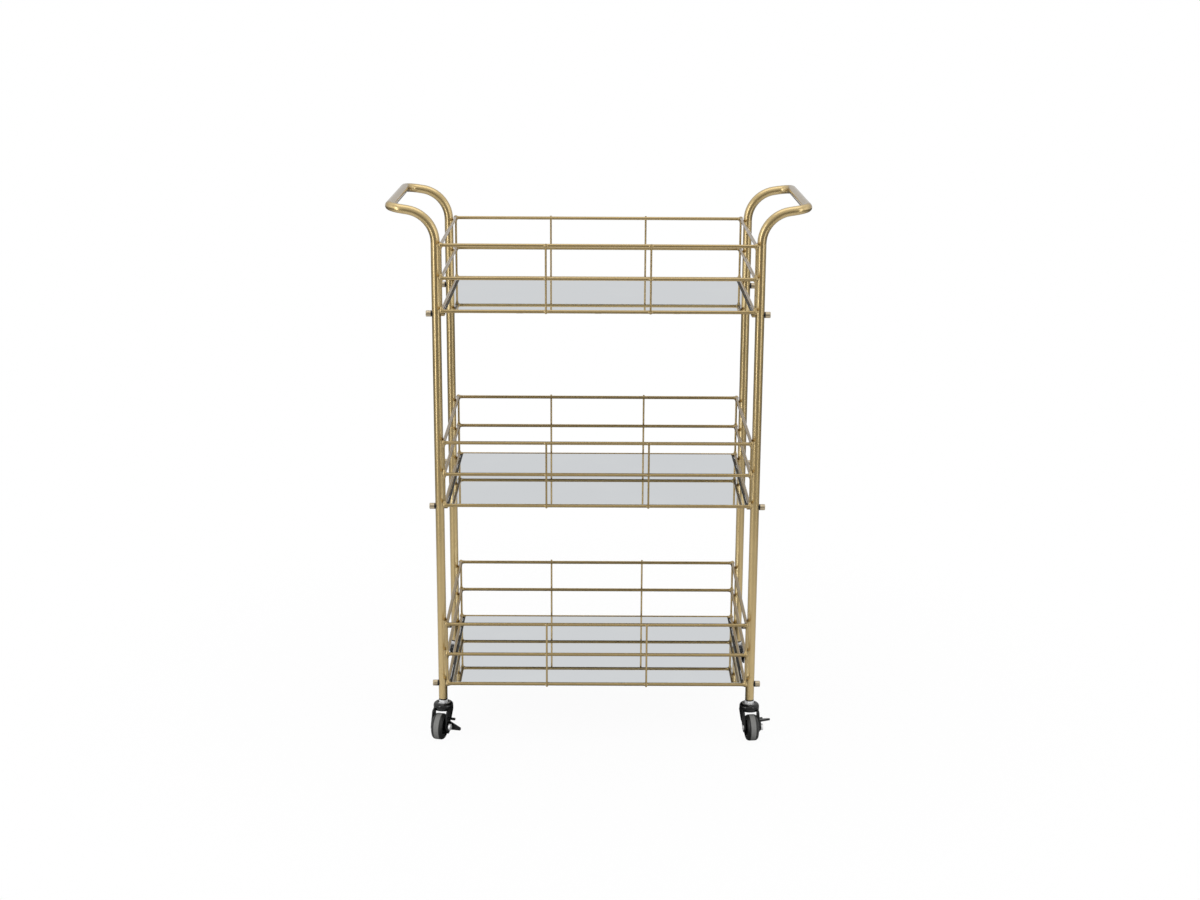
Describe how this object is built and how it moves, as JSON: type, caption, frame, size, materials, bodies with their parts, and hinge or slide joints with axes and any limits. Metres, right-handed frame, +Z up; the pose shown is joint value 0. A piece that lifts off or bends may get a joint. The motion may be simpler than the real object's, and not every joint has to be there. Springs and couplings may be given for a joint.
{
  "type": "bar cart",
  "caption": "Rolling bar cart: bent-tube side frames with handles carry wire-railed mirror shelves, on swivel casters with side brakes in front.",
  "frame": {"origin": "floor under the middle of the cart", "axes": "+Z up, +X to the right seen from the front, -Y towards the front, where the braked casters are"},
  "size_m": [0.7406, 0.3982, 0.9837],
  "materials": {
    "gold_tube": "satin gold coat on steel tube",
    "gold_wire": "satin gold coat on steel wire",
    "gold_bolt": "satin gold plating on steel",
    "mirror": "silvered glass with a polished bevel",
    "black_board": "black painted hardboard",
    "black_plastic": "fine grained black",
    "rubber": "smooth soft rubber",
    "zinc": "bright zinc plating",
    "black_steel": "black coat on pressed steel"
  },
  "bodies": {
    "cart": {"left_side_frame": "gold_tube", "right_side_frame": "gold_tube", "leg_plugs": "black_plastic", "top_long_rails": "gold_wire", "top_end_rails": "gold_wire", "top_corner_posts": "gold_wire", "top_uprights": "gold_wire", "top_straps": "gold_wire", "top_board": "black_board", "top_mirror": "mirror", "top_bolts": "gold_bolt", "top_saddle_washers": "black_plastic", "top_lugs": "gold_wire", "middle_long_rails": "gold_wire", "middle_end_rails": "gold_wire", "middle_corner_posts": "gold_wire", "middle_uprights": "gold_wire", "middle_straps": "gold_wire", "middle_board": "black_board", "middle_mirror": "mirror", "middle_bolts": "gold_bolt", "middle_saddle_washers": "black_plastic", "middle_lugs": "gold_wire", "bottom_long_rails": "gold_wire", "bottom_end_rails": "gold_wire", "bottom_corner_posts": "gold_wire", "bottom_uprights": "gold_wire", "bottom_straps": "gold_wire", "bottom_board": "black_board", "bottom_mirror": "mirror", "bottom_bolts": "gold_bolt", "bottom_saddle_washers": "black_plastic", "bottom_lugs": "gold_wire", "front_left_stem": "zinc", "front_right_stem": "zinc", "rear_left_stem": "zinc", "rear_right_stem": "zinc"},
    "front_left_swivel": {"front_left_fork": "black_plastic", "front_left_bearing_balls": "zinc", "front_left_axle": "zinc"},
    "front_left_wheel": {"front_left_tyre": "rubber", "front_left_hub": "black_plastic"},
    "front_left_brake": {"front_left_brake_lever": "black_steel"},
    "front_right_swivel": {"front_right_fork": "black_plastic", "front_right_bearing_balls": "zinc", "front_right_axle": "zinc"},
    "front_right_wheel": {"front_right_tyre": "rubber", "front_right_hub": "black_plastic"},
    "front_right_brake": {"front_right_brake_lever": "black_steel"},
    "rear_left_swivel": {"rear_left_fork": "black_plastic", "rear_left_bearing_balls": "zinc", "rear_left_axle": "zinc"},
    "rear_left_wheel": {"rear_left_tyre": "rubber", "rear_left_hub": "black_plastic"},
    "rear_right_swivel": {"rear_right_fork": "black_plastic", "rear_right_bearing_balls": "zinc", "rear_right_axle": "zinc"},
    "rear_right_wheel": {"rear_right_tyre": "rubber", "rear_right_hub": "black_plastic"}
  },
  "joints": [
    {"name": "front_left_swivel_turn", "type": "hinge", "parent": "cart", "child": "front_left_swivel", "pos_m": [-0.2825, -0.153, 0.056], "axis": [0, 0, 1], "continuous": true},
    {"name": "front_left_wheel_spin", "type": "hinge", "parent": "front_left_swivel", "child": "front_left_wheel", "pos_m": [-0.28782, -0.17435, 0.024], "axis": [0.9703, -0.2419, 0], "continuous": true},
    {"name": "front_left_brake_turn", "type": "hinge", "parent": "front_left_swivel", "child": "front_left_brake", "pos_m": [-0.28782, -0.17435, 0.024], "axis": [-0.9703, 0.2419, 0], "range_deg": [-85, 0]},
    {"name": "front_right_swivel_turn", "type": "hinge", "parent": "cart", "child": "front_right_swivel", "pos_m": [0.2825, -0.153, 0.056], "axis": [0, 0, 1], "continuous": true},
    {"name": "front_right_wheel_spin", "type": "hinge", "parent": "front_right_swivel", "child": "front_right_wheel", "pos_m": [0.28537, -0.17481, 0.024], "axis": [0.9914, 0.1305, 0], "continuous": true},
    {"name": "front_right_brake_turn", "type": "hinge", "parent": "front_right_swivel", "child": "front_right_brake", "pos_m": [0.28537, -0.17481, 0.024], "axis": [-0.9914, -0.1305, 0], "range_deg": [0, 85]},
    {"name": "rear_left_swivel_turn", "type": "hinge", "parent": "cart", "child": "rear_left_swivel", "pos_m": [-0.2825, 0.153, 0.056], "axis": [0, 0, 1], "continuous": true},
    {"name": "rear_left_wheel_spin", "type": "hinge", "parent": "rear_left_swivel", "child": "rear_left_wheel", "pos_m": [-0.26836, 0.16985, 0.024], "axis": [-0.766, 0.6428, 0], "continuous": true},
    {"name": "rear_right_swivel_turn", "type": "hinge", "parent": "cart", "child": "rear_right_swivel", "pos_m": [0.2825, 0.153, 0.056], "axis": [0, 0, 1], "continuous": true},
    {"name": "rear_right_wheel_spin", "type": "hinge", "parent": "rear_right_swivel", "child": "rear_right_wheel", "pos_m": [0.28537, 0.17481, 0.024], "axis": [-0.9914, 0.1305, 0], "continuous": true}
  ]
}
